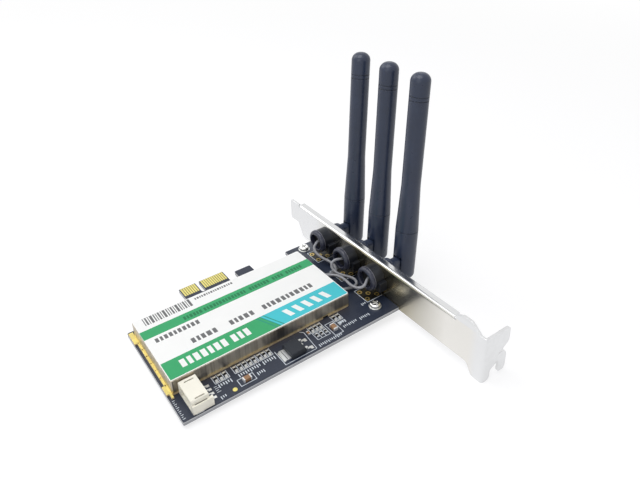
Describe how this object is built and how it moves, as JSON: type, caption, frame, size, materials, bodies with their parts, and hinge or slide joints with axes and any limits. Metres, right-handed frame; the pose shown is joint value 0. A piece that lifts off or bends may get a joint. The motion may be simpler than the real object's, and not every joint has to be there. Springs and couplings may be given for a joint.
{
  "type": "wireless network card",
  "caption": "Expansion-slot wireless network card with a shielded radio, a folded metal bracket and rod antennas on swivel and tilt hinges.",
  "frame": {"origin": "middle of the key notch on the free edge of the contact tongue, in the board's component face", "axes": "+X along the board to the bracket, +Y the way the tongue goes into its slot, +Z out of the component face"},
  "size_m": [0.119, 0.12, 0.0968],
  "materials": {
    "board": "dark blue solder mask over glass fibre, satin",
    "gold": "hard gold plating on copper",
    "nickel": "nickel-plated sheet steel",
    "screw_steel": "bright zinc-plated steel",
    "tin": "tinned metal",
    "gilt_brass": "gilt sheet",
    "tinplate": "bright tinplate with a grain",
    "label_paper": "coated paper, printed in plain fields",
    "radio_board": "green solder mask",
    "black_plastic": "moulded",
    "ivory_plastic": "moulded nylon",
    "chip_plastic": "moulded epoxy",
    "resistor_ceramic": "glazed top",
    "capacitor_ceramic": "fired ceramic",
    "barrel_plastic": "moulded, satin",
    "lead_jacket": "extruded fluoropolymer",
    "antenna_plastic": "fine moulded grain",
    "whip_brass": "drawn rod"
  },
  "bodies": {
    "card": {"carrier_board": "board", "edge_contacts": "gold", "bracket": "nickel", "board_screws": "screw_steel", "screw_pads": "tin", "antenna_pads": "gold", "shield_frame": "gilt_brass", "shield_cover": "tinplate", "label": "label_paper", "radio_card": "radio_board", "radio_posts": "black_plastic", "radio_socket": "black_plastic", "radio_can": "tinplate", "header_housing": "ivory_plastic", "header_pins": "tin", "header_tabs": "tin", "regulator_body": "chip_plastic", "regulator_tab": "tin", "regulator_leads": "tin", "chip_resistors": "resistor_ceramic", "chip_capacitors": "capacitor_ceramic", "chip_ends": "tin", "coax_plug_1": "gilt_brass", "barrel_1": "barrel_plastic", "barrel_cap_1": "barrel_plastic", "lead_gland_1": "black_plastic", "antenna_lead_1": "lead_jacket", "coax_plug_2": "gilt_brass", "barrel_2": "barrel_plastic", "barrel_cap_2": "barrel_plastic", "lead_gland_2": "black_plastic", "antenna_lead_2": "lead_jacket", "coax_plug_3": "gilt_brass", "barrel_3": "barrel_plastic", "barrel_cap_3": "barrel_plastic", "lead_gland_3": "black_plastic", "antenna_lead_3": "lead_jacket"},
    "swivel_1": {"knuckle_1": "antenna_plastic"},
    "antenna_1": {"antenna_base_1": "antenna_plastic", "hinge_pin_1": "screw_steel", "antenna_sheath_1": "antenna_plastic", "antenna_tip_1": "antenna_plastic", "radiator_1": "whip_brass"},
    "swivel_2": {"knuckle_2": "antenna_plastic"},
    "antenna_2": {"antenna_base_2": "antenna_plastic", "hinge_pin_2": "screw_steel", "antenna_sheath_2": "antenna_plastic", "antenna_tip_2": "antenna_plastic", "radiator_2": "whip_brass"},
    "swivel_3": {"knuckle_3": "antenna_plastic"},
    "antenna_3": {"antenna_base_3": "antenna_plastic", "hinge_pin_3": "screw_steel", "antenna_sheath_3": "antenna_plastic", "antenna_tip_3": "antenna_plastic", "radiator_3": "whip_brass"}
  },
  "joints": [
    {"name": "antenna_swivel_1", "type": "hinge", "parent": "card", "child": "swivel_1", "pos_m": [0.07445, -0.01685, 0.008], "axis": [1, 0, 0], "range_deg": [-90, 2.5]},
    {"name": "antenna_tilt_1", "type": "hinge", "parent": "swivel_1", "child": "antenna_1", "pos_m": [0.07445, -0.01685, 0.008], "axis": [0, 1, 0], "range_deg": [-3, 87]},
    {"name": "antenna_swivel_2", "type": "hinge", "parent": "card", "child": "swivel_2", "pos_m": [0.07445, -0.03395, 0.008], "axis": [1, 0, 0], "range_deg": [-2.5, 2.5]},
    {"name": "antenna_tilt_2", "type": "hinge", "parent": "swivel_2", "child": "antenna_2", "pos_m": [0.07445, -0.03395, 0.008], "axis": [0, 1, 0], "range_deg": [-3, 87]},
    {"name": "antenna_swivel_3", "type": "hinge", "parent": "card", "child": "swivel_3", "pos_m": [0.07445, -0.05105, 0.008], "axis": [1, 0, 0], "range_deg": [-2.5, 70]},
    {"name": "antenna_tilt_3", "type": "hinge", "parent": "swivel_3", "child": "antenna_3", "pos_m": [0.07445, -0.05105, 0.008], "axis": [0, 1, 0], "range_deg": [-3, 87]}
  ]
}
